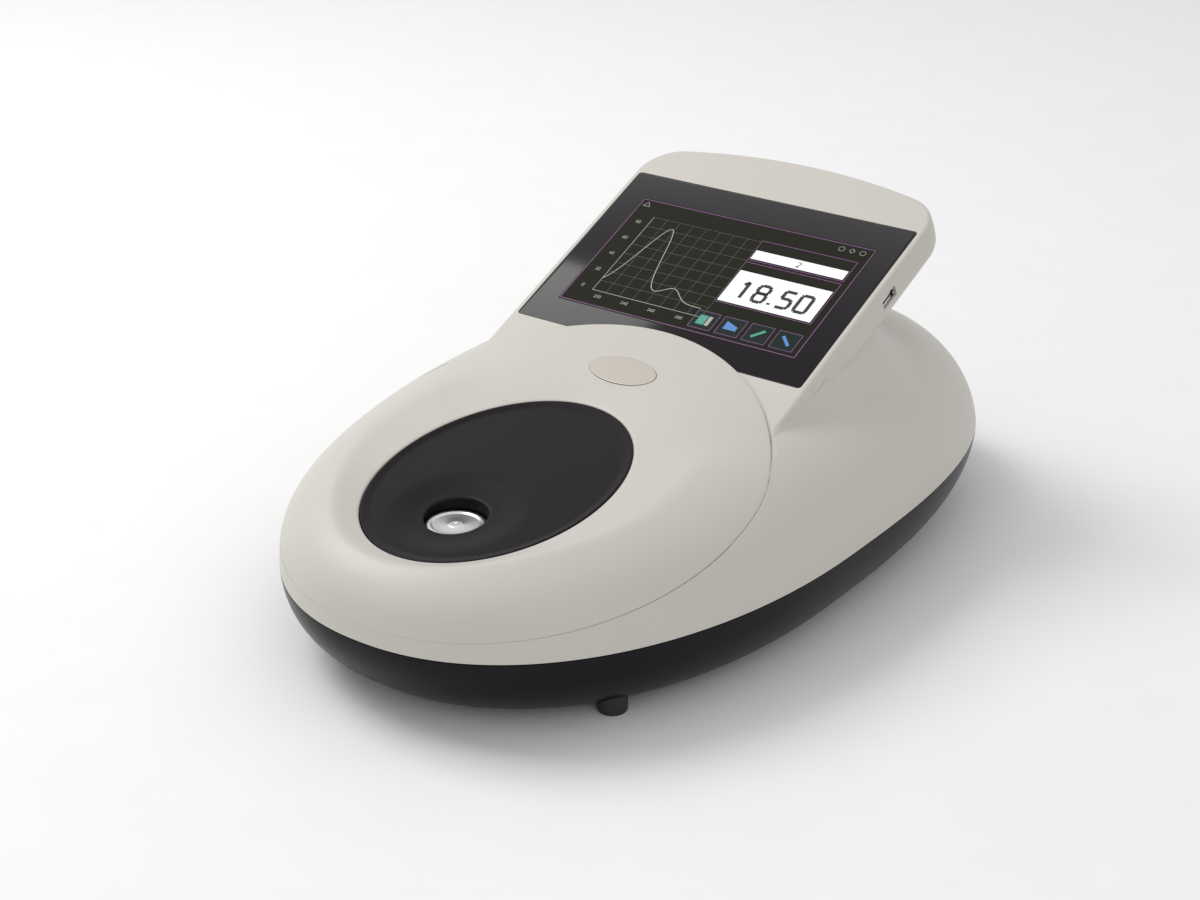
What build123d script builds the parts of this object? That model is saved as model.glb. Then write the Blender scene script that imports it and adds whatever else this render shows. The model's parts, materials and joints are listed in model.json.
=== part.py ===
from build123d import *
from math import copysign, cos, pi, radians, sin, tan
import os

# Microvolume spectrophotometer: an egg-shaped bench instrument with a tilted touch display.
# Millimetres. X to the user's right, Y away from the user, Z up.
# The origin is on the bench under the middle of the case, and the feet stand on Z = 0.

# Case outline, seen from above: two half ovals that meet at the widest station
base_width = 280.0
front_length = 213.0
rear_length = 242.5
front_power = 2.16
rear_power = 2.79
rim_height = 44.0
case_wall = 3.0
rim_joint_gap = 0.2
skin_overlap = 1.2

# Tub under the rim
tub_depth = 40.0
tub_draw_in = 0.18
tub_round_power = 1.8

# Dome over the rim
crown_height = 66.0
crown_y = 23.4
dome_side_powers = (2.0, 3.5)
dome_front_powers = (4.1, 1.2)
dome_rear_powers = (1.2, 6.0)
dome_top_share = 0.997

# Display head, measured on its tilted face from the middle of the glass's lower edge
display_tilt = 24.0
glass_edge_y = 8.7
glass_edge_height = 113.8
head_half_width = 95.0
head_top = 161.0
head_brow_rise = 12.9
head_corner_radius = 25.0
head_tail = 58.0
head_depth = 24.0
head_front_radius = 2.0
head_back_radius = 9.5

# Neck between the dome and the head's back
neck_half_width = 88.0
neck_front_y = -10.0
neck_rear_y = 106.0
neck_corner = 38.0
neck_low = 92.0

# Front cover: an oval lid flush with the dome, dished around the black deck
cover_half_width = 121.0
cover_front_y = -227.6
cover_rear_y = 19.5
cover_widest_y = -95.0
cover_lip = 2.0
cover_wall = 2.7
cover_gap = 0.3
cover_crown = 1.5
cover_base_slope = 0.2

# Seat of the cover, an arc in side view: front, middle and rear points
seat_front_height = 53.0
seat_mid_y = -127.0
seat_mid_height = 68.3
seat_rear_y = -31.0
seat_rear_height = 96.0
seat_flange = 2.5
seat_width = 15.0
seat_run_on = 60.0
seat_edge = 1.5
seat_step = 0.3

# Black deck in the dish
deck_half_width = 60.3
deck_half_length = 77.3
deck_y = -122.1
deck_height = 88.1
deck_tilt = 8.7
deck_thickness = 7.0
deck_gap = 0.25
deck_ledge = 3.0
deck_shell_drop = 9.5
deck_wall = 2.0
dish_depth = 1.0
dish_share = 0.93

# Sample port under the well in the deck
well_y = -154.6
well_radius = 16.0
well_bowl_radius = 36.0
well_bowl_depth = 2.2
well_collar_wall = 2.0
well_floor_height = 70.0
port_disc_radius = 14.5
port_disc_thickness = 5.0
port_disc_height = 76.0
port_dish_depth = 0.8
port_ring_width = 2.6
port_target_radius = 2.6
port_window_radius = 1.2
port_window_rise = 0.5
seal_height = 2.0
holder_radius = 13.0
holder_bore = 9.0
holder_flange = 4.0
holder_flange_radius = 17.0

# Badge recess on the cover, left bare
badge_half_width = 20.5
badge_half_length = 10.5
badge_y = -18.0
badge_recess = 0.8
badge_thickness = 1.2
badge_gap = 0.2
badge_edge_radius = 0.3

# Display stack
face_wall = 4.0
glass_width = 182.4
glass_length = 126.8
glass_thickness = 1.8
glass_gap = 0.3
glass_corner = 2.0
lcd_width = 164.9
lcd_length = 100.0
lcd_thickness = 5.7
lcd_centre_up = 63.0
gasket_thickness = 0.5
bracket_thickness = 1.2
bracket_half_width = 80.0
bracket_trim = 3.0
bracket_ear_width = 17.0
bracket_ear_length = 8.0
bracket_ear_inset = 5.0
bracket_boss_x = 86.2
bracket_boss_radius = 3.0
bracket_boss_up = (20.0, 106.0)
spacer_height = 2.0
spacer_radius = 2.5
spacer_x = 40.0
spacer_up = 25.0
display_board_width = 100.0
display_board_length = 64.0
header_height = 4.0
header_margin = 3.0
ribbon_up = 60.0
ribbon_width = 16.0
ribbon_thickness = 0.4
ribbon_bend = 20.0
ribbon_lead = 4.0
ribbon_bite = 1.0
ribbon_gap = 0.2

# Side port for a memory stick
usb_a_up = 84.0
usb_a_below_face = 9.0
usb_a_width = 13.2
usb_a_height = 5.7
usb_a_length = 12.0
usb_metal = 0.4
usb_tongue_thickness = 1.8
usb_board_width = 18.0
usb_board_reach = 8.0

# Rear connector recess
recess_half_width = 46.0
recess_floor_height = 49.0
recess_top_height = 77.0
recess_back_y = 197.0
panel_thickness = 2.5
panel_lip = 2.0
panel_gap = 0.15
panel_screw_inset = 4.5
panel_cut_gap = 0.2

# Rear connectors on the panel
inlet_x = -30.0
inlet_radius = 5.5
inlet_mouth_radius = 3.1
inlet_pin_radius = 1.0
inlet_length = 14.0
inlet_flange = 1.5
usb_b_x = -4.0
usb_b_width = 12.0
usb_b_height = 10.8
usb_b_length = 16.0
usb_b_wall = 0.6
switch_x = 25.0
switch_width = 19.0
switch_height = 13.0
switch_depth = 12.0
switch_bezel = 1.6
rocker_width = 15.6
rocker_height = 9.4
rocker_angle = 10.0
rocker_gap = 0.3
rocker_pivot_depth = 3.0
trunnion_radius = 1.5
trunnion_gap = 0.08
trunnion_reach = 9.5
rocker_waist = 2.8
terminal_thickness = 0.8
terminal_width = 4.8
terminal_length = 7.0
terminal_x = 5.0

# Screw clearances
screw_gap = 0.1
head_gap = 0.4

# Small screws of the main board, the display and the rear panel
small_screw_radius = 1.3
small_screw_head_radius = 2.6
small_screw_head_height = 1.6
small_screw_tip_gap = 0.2

# Feet
foot_x = 88.0
foot_front_y = -147.0
foot_rear_y = 150.0
foot_radius = 7.5
foot_gap = 0.1
foot_length = 16.0
foot_edge_radius = 1.0
foot_recess = 3.0
foot_boss_height = 20.0
foot_boss_radius = 5.0
foot_screw_radius = 1.5
foot_screw_head_radius = 3.0
foot_screw_head_height = 2.0
foot_screw_reach = 11.0

# Case screws
case_screw_radius = 2.0
case_screw_head_radius = 3.6
case_screw_head_height = 2.5
case_screw_seat = 20.0
case_screw_bite = 14.0
case_boss_radius = 5.5
case_front_boss = (108.0, -62.0)
case_rear_boss = (94.0, 120.0)

# Chassis and main board
chassis_height = 16.0
chassis_thickness = 2.0
chassis_half_width = 78.0
chassis_front_y = -172.0
chassis_rear_y = 165.0
chassis_corner = 20.0
chassis_boss_radius = 4.5
chassis_screw_radius = 1.5
chassis_screw_head_radius = 2.8
chassis_screw_head_height = 1.8
chassis_screw_reach = 8.0
chassis_boss_x = 70.0
chassis_front_boss_inset = 40.0
chassis_rear_boss_inset = 12.0
board_thickness = 1.6
standoff_height = 8.0
standoff_radius = 3.0
board_screw_reach = 7.0
board_half_width = 66.0
board_front_y = 60.0
board_rear_y = 158.0
board_spot_inset = 5.0

# Optics on the chassis
bench_thickness = 8.0
bench_left = 64.0
bench_right = 40.0
bench_front_y = -171.0
bench_rear_y = -72.0
bench_corner = 4.0
fibre_radius = 1.5
fibre_height = 41.0
fibre_offset = 4.0
fibre_bend = 5.0
lamp_left = -62.0
lamp_right = -26.0
lamp_half = 15.0
lamp_wall = 2.0
reflector_x = -50.0
reflector_depth = 14.0
reflector_radius = 10.0
bulb_radius = 3.0
bulb_base_radius = 4.0
spectro_left = -22.0
spectro_right = 62.0
spectro_front_y = -58.0
spectro_rear_y = 34.0
spectro_top = 54.0
spectro_wall = 3.0
spectro_lid_thickness = 2.5
grating_turn = 18.0
grating_back = 12.0
grating_size = (24.0, 5.0, 22.0)
grating_foot_size = (26.0, 9.0, 3.0)
slit_plate_half_width = 8.0
slit_plate_thickness = 1.5
slit_plate_height = 26.0
slit_half_width = 0.25
slit_half_height = 2.0
detector_board_span = (10.0, 55.0)
detector_board_height = 22.0
sensor_span = (18.0, 47.0)
sensor_levels = (6.0, 16.0)
sensor_thickness = 3.0

rim_front_y = -(front_length + rear_length) / 2
rim_rear_y = -rim_front_y
widest_y = rim_front_y + front_length
chassis_top = chassis_height + chassis_thickness
bench_top = chassis_top + bench_thickness
board_low = chassis_top + standoff_height
tub_floor = rim_height - tub_depth + case_wall
lcd_back = -glass_thickness - gasket_thickness - lcd_thickness
display_board_back = lcd_back - bracket_thickness - spacer_height - board_thickness
header_back = display_board_back - header_height
connector_height = (recess_floor_height + recess_top_height) / 2


def signed_power(value, exponent):
    return copysign(abs(value) ** exponent, value)


def oval_xy(angle, half_width, front_y, rear_y, station_y, powers=(front_power, rear_power)):
    """Point of an oval whose front and rear halves have their own reach and fullness."""
    front_half = sin(angle) < 0
    power = powers[0] if front_half else powers[1]
    reach = station_y - front_y if front_half else rear_y - station_y
    x = half_width * signed_power(cos(angle), 2 / power)
    y = station_y + reach * signed_power(sin(angle), 2 / power)
    return x, y


def ring(point_at, count=24):
    """Closed smooth wire through the points that point_at gives for each angle."""
    angles = [2 * pi * step / count for step in range(count)]
    return Wire([Edge.make_spline([Vector(*point_at(angle)) for angle in angles], periodic=True)])


def case_ring(half_width, front_y, rear_y, station_y, height):
    return ring(lambda a: (*oval_xy(a, half_width, front_y, rear_y, station_y), height))


def spread(share, powers):
    """How far out the dome still reaches at a share of its height."""
    return (1 - share ** powers[0]) ** (1 / powers[1])


def tub_solid(inset=0.0):
    """Solid of the tub's outer form, or of its inside when inset is the wall."""
    rings = []
    for turn in (0, 16, 32, 48, 63, 76, 90):
        phi = radians(turn)
        share = 1 - tub_draw_in * (1 - abs(cos(phi)) ** (2 / tub_round_power))
        drop = (tub_depth - inset) * sin(phi) ** (2 / tub_round_power)
        rings.append(case_ring(
            (base_width / 2 - inset) * share,
            widest_y - (front_length - inset) * share,
            widest_y + (rear_length - inset) * share,
            widest_y,
            rim_height - drop,
        ))
    return Solid.make_loft(rings, ruled=True)


def dome_ring(share, inset):
    """Ring of the dome at a share of its height."""
    front_y = crown_y - (crown_y - rim_front_y - inset) * spread(share, dome_front_powers)
    rear_y = crown_y + (rim_rear_y - inset - crown_y) * spread(share, dome_rear_powers)
    station_y = widest_y + (crown_y - widest_y) * share ** 2
    half_width = (base_width / 2 - inset) * spread(share, dome_side_powers)
    height = rim_height + (crown_height - inset) * share
    return case_ring(half_width, front_y, rear_y, station_y, height)


def dome_solid(inset=0.0):
    """Solid under the dome's surface, or under its inner surface when inset is the wall."""
    shares = (0, 0.1, 0.22, 0.36, 0.5, 0.63, 0.75, 0.85, 0.92, 0.965, dome_top_share)
    return Solid.make_loft([dome_ring(share, inset) for share in shares], ruled=True)


def dome_height(x, y):
    """Height of the dome's surface over a point in plan."""
    low, high = 0.0, dome_top_share
    for _ in range(24):
        share = (low + high) / 2
        half_width = base_width / 2 * spread(share, dome_side_powers)
        station_y = widest_y + (crown_y - widest_y) * share ** 2
        if y < station_y:
            front = crown_y - (crown_y - rim_front_y) * spread(share, dome_front_powers)
            reach = station_y - front
            power = front_power
        else:
            rear = crown_y + (rim_rear_y - crown_y) * spread(share, dome_rear_powers)
            reach = rear - station_y
            power = rear_power
        if abs(x / half_width) ** power + abs((y - station_y) / reach) ** power < 1:
            low = share
        else:
            high = share
    return rim_height + crown_height * low


def face_height(y):
    """Height of the head's tilted face at a station along the case."""
    return glass_edge_height + (y - glass_edge_y) * tan(radians(display_tilt))


def smooth_step(value):
    value = min(max(value, 0.0), 1.0)
    return value * value * (3 - 2 * value)


def cover_oval(angle, inset=0.0):
    return oval_xy(angle, cover_half_width - inset, cover_front_y + inset, cover_rear_y - inset,
                   cover_widest_y, (2, 2))


def deck_point(angle):
    """Point of the deck's edge, an ellipse on its own tilted plane."""
    along = deck_half_length * sin(angle)
    tilt = radians(deck_tilt)
    return (deck_half_width * cos(angle), deck_y + along * cos(tilt),
            deck_height + along * sin(tilt))


def cover_point(angle, share):
    """Point of the cover's skin from its edge, share 0, to the deck's edge, share 1."""
    edge_x, edge_y = cover_oval(angle, cover_gap)
    deck_x, deck_y_here, deck_z = deck_point(angle)
    x = edge_x + (deck_x - edge_x) * share
    y = edge_y + (deck_y_here - edge_y) * share
    lip_z = face_height(edge_y) + cover_lip
    ramp = lip_z + (deck_z - lip_z) * share + cover_crown * sin(pi * share)
    fall = smooth_step((share - 0.1) / 0.9)
    flank = dome_height(x, y) * (1 - fall) + deck_z * fall
    rear = smooth_step((sin(angle) - 0.35) / 0.4)
    return x, y, flank + (ramp - flank) * rear


def cover_solid(inset=0.0):
    """Solid under the cover's skin, from a hem below its edge up to the deck's edge."""
    def skin(angle, share, drop=0.0):
        x, y, z = cover_point(angle, share)
        shrink_x = 1 - inset * (1 - share) / cover_half_width
        shrink_y = 1 - inset * (1 - share) / (cover_rear_y - cover_widest_y)
        return x * shrink_x, cover_widest_y + (y - cover_widest_y) * shrink_y, z - inset - drop

    def base(angle):
        x, y, _ = skin(angle, 0)
        return x, y, rim_height - inset + (y - cover_front_y) * cover_base_slope

    rings = [ring(base)]
    for share in (0, 0.06, 0.14, 0.24, 0.36, 0.5, 0.64, 0.78, 0.9, 1.0):
        rings.append(ring(lambda a, s=share: skin(a, s)))
    return Solid.make_loft(rings, ruled=True)


def slab(plane, outline, low, high):
    """Outline drawn on a plane, extruded between two offsets along its normal."""
    return extrude(plane.offset(low) * outline, high - low)


def rod(x, y, low, high, radius):
    """Upright cylinder between two heights."""
    return Pos(x, y, low) * Cylinder(radius, high - low, align=(Align.CENTER, Align.CENTER, Align.MIN))


def block(low, high):
    """Box between two opposite corners."""
    size = [b - a for a, b in zip(low, high)]
    return Pos(*low) * Box(*size, align=Align.MIN)


deck_plane = Plane(
    origin=(0, deck_y, deck_height), x_dir=(1, 0, 0),
    z_dir=(0, -sin(radians(deck_tilt)), cos(radians(deck_tilt))),
)
head_plane = Plane(
    origin=(0, glass_edge_y, glass_edge_height), x_dir=(1, 0, 0),
    z_dir=(0, -sin(radians(display_tilt)), cos(radians(display_tilt))),
)


def hollow_form(outer, inner):
    """Wall between two lofted forms that both start on the rim."""
    faces = []
    rims = []
    for form in (outer, inner):
        base = min(form.faces(), key=lambda face: face.bounding_box().size.Z
                   + abs(face.center().Z - rim_height))
        rims.append(base.outer_wire())
        faces += [face for face in form.faces() if not face.is_same(base)]
    faces.append(Face(rims[0], [rims[1]]))
    return Solid(Shell(faces))


def seat_curve(offset):
    """Side view of the cover's seat: an arc, then a line along the head's face."""
    arc = ThreePointArc(
        (rim_front_y - 1, seat_front_height + offset), (seat_mid_y, seat_mid_height + offset),
        (seat_rear_y, seat_rear_height + offset),
    )
    tilt = radians(display_tilt)
    return [arc, Line(arc @ 1, (arc @ 1) + seat_run_on * Vector(cos(tilt), sin(tilt)))]


def seat_layer(low, high):
    """Layer between two offsets from the cover's seat, across the whole width."""
    bottom = seat_curve(low)
    top = seat_curve(high)
    ends = [Line(bottom[0] @ 0, top[0] @ 0), Line(bottom[1] @ 1, top[1] @ 1)]
    return extrude(Plane.YZ * make_face([*bottom, *top, *ends]), base_width, both=True)


def head_outline(inset):
    """Outline of the display head on its face: straight sides and a bowed brow."""
    half = head_half_width - inset
    top = head_top - inset
    shoulder = top - head_brow_rise
    low = -head_tail + inset
    left = Line((-half, low), (-half, shoulder))
    brow = ThreePointArc((-half, shoulder), (0, top), (half, shoulder))
    right = Line((half, shoulder), (half, low))
    base = Line((half, low), (-half, low))
    face = make_face([left, brow, right, base])
    corners = face.vertices().sort_by(Axis.Y)[-2:]
    return fillet(corners, head_corner_radius - inset)


def head_edges(solid, level):
    """Edges of the head's outline at an offset from its face, but not along its tail."""
    found = []
    for edge in solid.edges():
        middle = head_plane.to_local_coords(edge.center())
        if abs(middle.Z - level) < 0.01 and middle.Y > -head_tail + 1:
            found.append(edge)
    return found


def head_solid():
    solid = slab(head_plane, head_outline(0), -head_depth, 0)
    solid = fillet(head_edges(solid, -head_depth), head_back_radius)
    return fillet(head_edges(solid, 0), head_front_radius)


def neck_solid(inset):
    """Upright support between the dome and the head's back."""
    middle_y = (neck_front_y + neck_rear_y) / 2
    plan = RectangleRounded(2 * (neck_half_width - inset), neck_rear_y - neck_front_y - 2 * inset,
                            neck_corner - inset)
    column = extrude(Pos(0, middle_y, neck_low) * plan, head_top)
    above = slab(head_plane, Rectangle(3 * head_top, 3 * head_top), -head_depth / 2, 2 * head_top)
    return column - above


def recess_box(grow, front, back):
    return block(
        (-recess_half_width - grow, front, recess_floor_height - grow),
        (recess_half_width + grow, back, recess_top_height + grow),
    )


def spots(x, *stations):
    """Mirrored pairs of points at the given stations along the case."""
    return [(side * x, y) for y in stations for side in (1, -1)]


feet = spots(foot_x, foot_front_y, foot_rear_y)
case_bosses = spots(*case_front_boss) + spots(*case_rear_boss)
chassis_bosses = spots(chassis_boss_x, chassis_front_y + chassis_front_boss_inset, widest_y,
                       chassis_rear_y - chassis_rear_boss_inset)
board_spots = spots(board_half_width - board_spot_inset, board_front_y + board_spot_inset,
                    board_rear_y - board_spot_inset)
bracket_spots = spots(bracket_boss_x, *bracket_boss_up)
panel_spots = [(side * (recess_half_width - panel_screw_inset), connector_height) for side in (1, -1)]
ribbon_start = head_plane.from_local_coords(Vector(0, ribbon_up, header_back + ribbon_bite))
ribbon_run = ribbon_lead * sin(radians(display_tilt))
ribbon_y = ribbon_start.Y + ribbon_run + ribbon_bend * (1 - cos(radians(display_tilt)))

badge_station = (cover_rear_y - badge_y) / (cover_rear_y - deck_point(pi / 2)[1])
badge_low = cover_point(pi / 2, badge_station + 0.1)
badge_high = cover_point(pi / 2, badge_station - 0.1)
badge_spot = cover_point(pi / 2, badge_station)
badge_rise = (badge_high[2] - badge_low[2]) / (badge_high[1] - badge_low[1])
badge_plane = Plane(origin=(0, badge_spot[1], badge_spot[2]), x_dir=(1, 0, 0), z_dir=(0, -badge_rise, 1))


def oval_prism(inset, low, high):
    """Upright prism of the cover's plan."""
    plan = Face(ring(lambda angle: (*cover_oval(angle, inset), low)))
    return extrude(plan, high - low)


def upper_shell():
    """Dome, display head and neck as one hollow moulding with the seat for the cover."""
    core = dome_solid(skin_overlap)
    seat = seat_layer(-seat_flange, -seat_step) & oval_prism(seat_edge, rim_height, base_width)
    keeps = [neck_solid(0), head_solid()]
    keeps.append(core & recess_box(panel_thickness, recess_back_y - panel_thickness - panel_lip, rim_rear_y))
    for x, y in case_bosses:
        around = [radians(turn) for turn in range(0, 360, 15)]
        top = min(dome_height(x + case_boss_radius * cos(turn), y + case_boss_radius * sin(turn))
                  for turn in around)
        keeps.append(rod(x, y, rim_height + rim_joint_gap, top - skin_overlap, case_boss_radius))
    shell = hollow_form(dome_solid(), dome_solid(case_wall))
    for keep in keeps:
        shell += keep
    head_hollow = slab(head_plane, head_outline(case_wall), -head_depth + case_wall, -face_wall)
    for x, up in bracket_spots:
        head_hollow -= slab(head_plane, Pos(x, up) * Circle(bracket_boss_radius), lcd_back, -face_wall)
    pocket = Rectangle(glass_width + 2 * glass_gap, glass_length + 2 * glass_gap)
    window = Rectangle(lcd_width + 2 * glass_gap, lcd_length + 2 * glass_gap)
    cuts = [neck_solid(case_wall), head_hollow]
    cuts.append(usb_a_space(glass_gap, head_half_width - case_wall - 1, head_half_width + 1))
    cuts.append(recess_box(0, recess_back_y - panel_thickness, 300))
    cuts.append(recess_box(-panel_lip, recess_back_y - 20, 300))
    for x, up in bracket_spots:
        cuts.append(slab(head_plane, Pos(x, up) * Circle(small_screw_radius + screw_gap),
                         lcd_back - 1, -face_wall - small_screw_tip_gap))
    for x, y in case_bosses:
        cuts.append(rod(x, y, rim_height, rim_height + case_screw_bite,
                        case_screw_radius + screw_gap))
    for cut in cuts:
        shell -= cut
    shell += seat
    shell -= slab(head_plane, Pos(0, glass_length / 2) * pocket, -glass_thickness - gasket_thickness, 1)
    shell -= slab(head_plane, Pos(0, lcd_centre_up) * window, -face_wall - 1, 1)
    shell -= oval_prism(seat_width, rim_height + 5, base_width)
    return shell - seat_layer(0, base_width)


def front_cover():
    """Oval lid with a deep mouth for the deck and a recess for the badge."""
    wall_outline = Ellipse(deck_half_width + deck_wall, deck_half_length + deck_wall)
    room = cover_solid(cover_wall) - slab(deck_plane, wall_outline, -deck_shell_drop, 30)
    mouth = Ellipse(deck_half_width - deck_ledge, deck_half_length - deck_ledge)
    cover = cover_solid() & seat_layer(cover_gap, base_width)
    cuts = [
        room,
        slab(deck_plane, Ellipse(deck_half_width + deck_gap, deck_half_length + deck_gap),
             -deck_thickness, 30),
        slab(deck_plane, mouth, -2 * deck_shell_drop, 30),
        badge_space(0, -badge_recess, 20),
    ]
    for cut in cuts:
        cover -= cut
    return cover


def tube(x, y, low, high, outer, inner):
    return rod(x, y, low, high, outer) - rod(x, y, low - 1, high + 1, inner)


def y_rod(x, z, front, back, radius):
    """Cylinder along Y between two stations."""
    turned = Rot(-90, 0, 0) * Cylinder(radius, back - front,
                                       align=(Align.CENTER, Align.CENTER, Align.MIN))
    return Pos(x, front, z) * turned


def x_rod(y, z, left, right, radius):
    """Cylinder along X between two stations."""
    turned = Rot(0, 90, 0) * Cylinder(radius, right - left,
                                      align=(Align.CENTER, Align.CENTER, Align.MIN))
    return Pos(left, y, z) * turned


def screw(x, y, seat, reach, radius, head_radius, head_height):
    """Screw whose head rests on a seat; a negative reach points down."""
    if reach < 0:
        return rod(x, y, seat, seat + head_height, head_radius) + rod(x, y, seat + reach, seat, radius)
    head = rod(x, y, seat - head_height, seat, head_radius)
    return head + rod(x, y, seat, seat + reach, radius)


def together(pieces):
    return Compound(children=list(pieces))


# Case


def base_tub():
    """Black tub under the rim, with bosses for the feet, the chassis and the case screws."""
    core = tub_solid(skin_overlap)
    keeps = []
    cuts = []
    for x, y in feet:
        keeps.append(core & rod(x, y, 0, foot_boss_height, foot_boss_radius))
        cuts.append(rod(x, y, -1, foot_boss_height - case_wall, foot_screw_radius + screw_gap))
    for x, y in case_bosses:
        keeps.append(rod(x, y, tub_floor - skin_overlap, rim_height - rim_joint_gap, case_boss_radius))
        cuts.append(rod(x, y, -1, rim_height + 1, case_screw_radius + screw_gap))
        cuts.append(rod(x, y, -1, case_screw_seat, case_screw_head_radius + head_gap))
    for x, y in chassis_bosses:
        keeps.append(rod(x, y, tub_floor - skin_overlap, chassis_height, chassis_boss_radius))
        cuts.append(rod(x, y, tub_floor, chassis_height + 1, chassis_screw_radius + screw_gap))
    tub = hollow_form(tub_solid(), tub_solid(case_wall))
    for keep in keeps:
        tub += keep
    for cut in cuts:
        tub -= cut
    return tub


def rubber_feet():
    """Round pads whose tops follow the tub's curved underside."""
    form = tub_solid(-foot_gap)
    pads = []
    for x, y in feet:
        pad = rod(x, y, 0, foot_length, foot_radius)
        pad = fillet(pad.edges().sort_by(Axis.Z)[0], foot_edge_radius) - form
        pad -= rod(x, y, -1, foot_recess, foot_screw_head_radius + head_gap)
        pads.append(pad - rod(x, y, 0, foot_length, foot_screw_radius + screw_gap))
    return together(pads)


def foot_screws():
    return together(
        screw(x, y, foot_recess, foot_screw_reach, foot_screw_radius, foot_screw_head_radius,
              foot_screw_head_height)
        for x, y in feet)


def case_screws():
    reach = rim_height + case_screw_bite - 2 - case_screw_seat
    return together(
        screw(x, y, case_screw_seat, reach, case_screw_radius, case_screw_head_radius,
              case_screw_head_height)
        for x, y in case_bosses)


# Deck, badge and sample port


def deck_insert():
    half_width = deck_half_width
    half_length = deck_half_length
    body = slab(deck_plane, Ellipse(half_width, half_length), -deck_thickness, 0)
    body += rod(0, well_y, well_floor_height, deck_height, well_radius + well_collar_wall)
    above = slab(deck_plane, Ellipse(2 * half_width, 2 * half_length), 0, base_width)
    dish_low = Ellipse(half_width * dish_share, half_length * dish_share)
    well = deck_plane.to_local_coords(Vector(0, well_y, deck_height))
    dish = loft([deck_plane.offset(0.01) * Ellipse(half_width - 0.5, half_length - 0.5),
                 deck_plane.offset(-dish_depth) * dish_low], ruled=True)
    bowl_middle = Pos(0, well.Y)
    bowl = loft([
        deck_plane.offset(-dish_depth + 0.01) * (bowl_middle * Circle(well_bowl_radius)),
        deck_plane.offset(-dish_depth - well_bowl_depth / 2) * (
            bowl_middle * Circle((well_bowl_radius + well_radius) / 2)),
        deck_plane.offset(-dish_depth - well_bowl_depth) * (bowl_middle * Circle(well_radius + 1)),
    ], ruled=True)
    return body - [above, dish, bowl, rod(0, well_y, 0, base_width, well_radius)]


def badge_space(grow, low, high):
    return slab(badge_plane, Ellipse(badge_half_width + grow, badge_half_length + grow), low, high)


def badge_plate():
    plate = badge_space(-badge_gap, -badge_recess, badge_thickness - badge_recess)
    edges = plate.edges().sort_by(Axis.Z)[-1]
    return fillet(edges, badge_edge_radius)


def port_disc():
    disc = rod(0, well_y, port_disc_height - port_disc_thickness, port_disc_height, port_disc_radius)
    dish = rod(0, well_y, port_disc_height - port_dish_depth, port_disc_height + 1,
               port_disc_radius - port_ring_width)
    target = rod(0, well_y, port_disc_height - port_dish_depth, port_disc_height - 0.1,
                 port_target_radius)
    disc = disc - dish + target
    return disc - rod(0, well_y, 0, base_width, port_window_radius)


def port_window():
    low = port_disc_height - port_disc_thickness
    return rod(0, well_y, low, port_disc_height + port_window_rise, port_window_radius - 0.05)


def port_seal():
    low = port_disc_height - port_disc_thickness
    return tube(0, well_y, low + 1, low + 1 + seal_height, well_radius - 0.1, port_disc_radius + 0.1)


def port_holder():
    low = port_disc_height - port_disc_thickness
    column = tube(0, well_y, bench_top, low, holder_radius, holder_bore)
    flange = tube(0, well_y, bench_top, bench_top + holder_flange, holder_flange_radius, holder_bore)
    fibre_hole = fibre_radius + screw_gap
    left = x_rod(well_y, fibre_height, -base_width / 2, -holder_bore + 2, fibre_hole)
    rear = y_rod(fibre_offset, fibre_height, well_y + holder_bore - 2, 0, fibre_hole)
    return column + flange - [left, rear]


# Optics


def optical_bench():
    plate = block((-bench_left, bench_front_y, chassis_top), (bench_right, bench_rear_y, bench_top))
    return fillet(plate.edges().filter_by(Axis.Z), bench_corner)


def lamp_block(grow):
    half = lamp_half - grow
    return block(
        (lamp_left + grow, well_y - half, bench_top + grow),
        (lamp_right - grow, well_y + half, bench_top + 2 * lamp_half - grow),
    )


def lamp_housing():
    shell = lamp_block(0) - lamp_block(lamp_wall)
    shell -= x_rod(well_y, fibre_height, lamp_right - 2 * lamp_wall, lamp_right + 1,
                   fibre_radius + screw_gap)
    return shell


def lamp_reflector():
    cup = x_rod(well_y, fibre_height, reflector_x, reflector_x + reflector_depth, reflector_radius)
    hollow = x_rod(well_y, fibre_height, reflector_x + 1, reflector_x + reflector_depth + 1,
                   reflector_radius - 1)
    return cup - [hollow, x_rod(well_y, fibre_height, reflector_x - 1, reflector_x + 2, bulb_base_radius)]


def lamp_bulb():
    base = x_rod(well_y, fibre_height, lamp_left + lamp_wall + board_thickness, reflector_x + 2,
                 bulb_base_radius - 0.1)
    glass = x_rod(well_y, fibre_height, reflector_x + 2, reflector_x + reflector_depth - 1, bulb_radius)
    return base + fillet(glass.edges().sort_by(Axis.X)[-1], bulb_radius - 0.2)


def lamp_board():
    half = lamp_half - lamp_wall
    low = bench_top + lamp_wall
    return block(
        (lamp_left + lamp_wall, well_y - half + 0.2, low),
        (lamp_left + lamp_wall + board_thickness, well_y + half - 0.2, low + 2 * half - 0.4),
    )


def fibre_riser(x):
    """Last part of a fibre inside the port holder."""
    low = port_disc_height - port_disc_thickness
    return rod(x, well_y, fibre_height + fibre_bend, low, fibre_radius)


def source_fibre():
    path = Plane.XZ.offset(-well_y) * Wire([
        Line((lamp_right - lamp_wall, fibre_height), (-fibre_offset - fibre_bend, fibre_height)),
        RadiusArc((-fibre_offset - fibre_bend, fibre_height),
                  (-fibre_offset, fibre_height + fibre_bend), -fibre_bend),
    ])
    return sweep(Plane(path @ 0, z_dir=path % 0) * Circle(fibre_radius), path) + fibre_riser(-fibre_offset)


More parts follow.
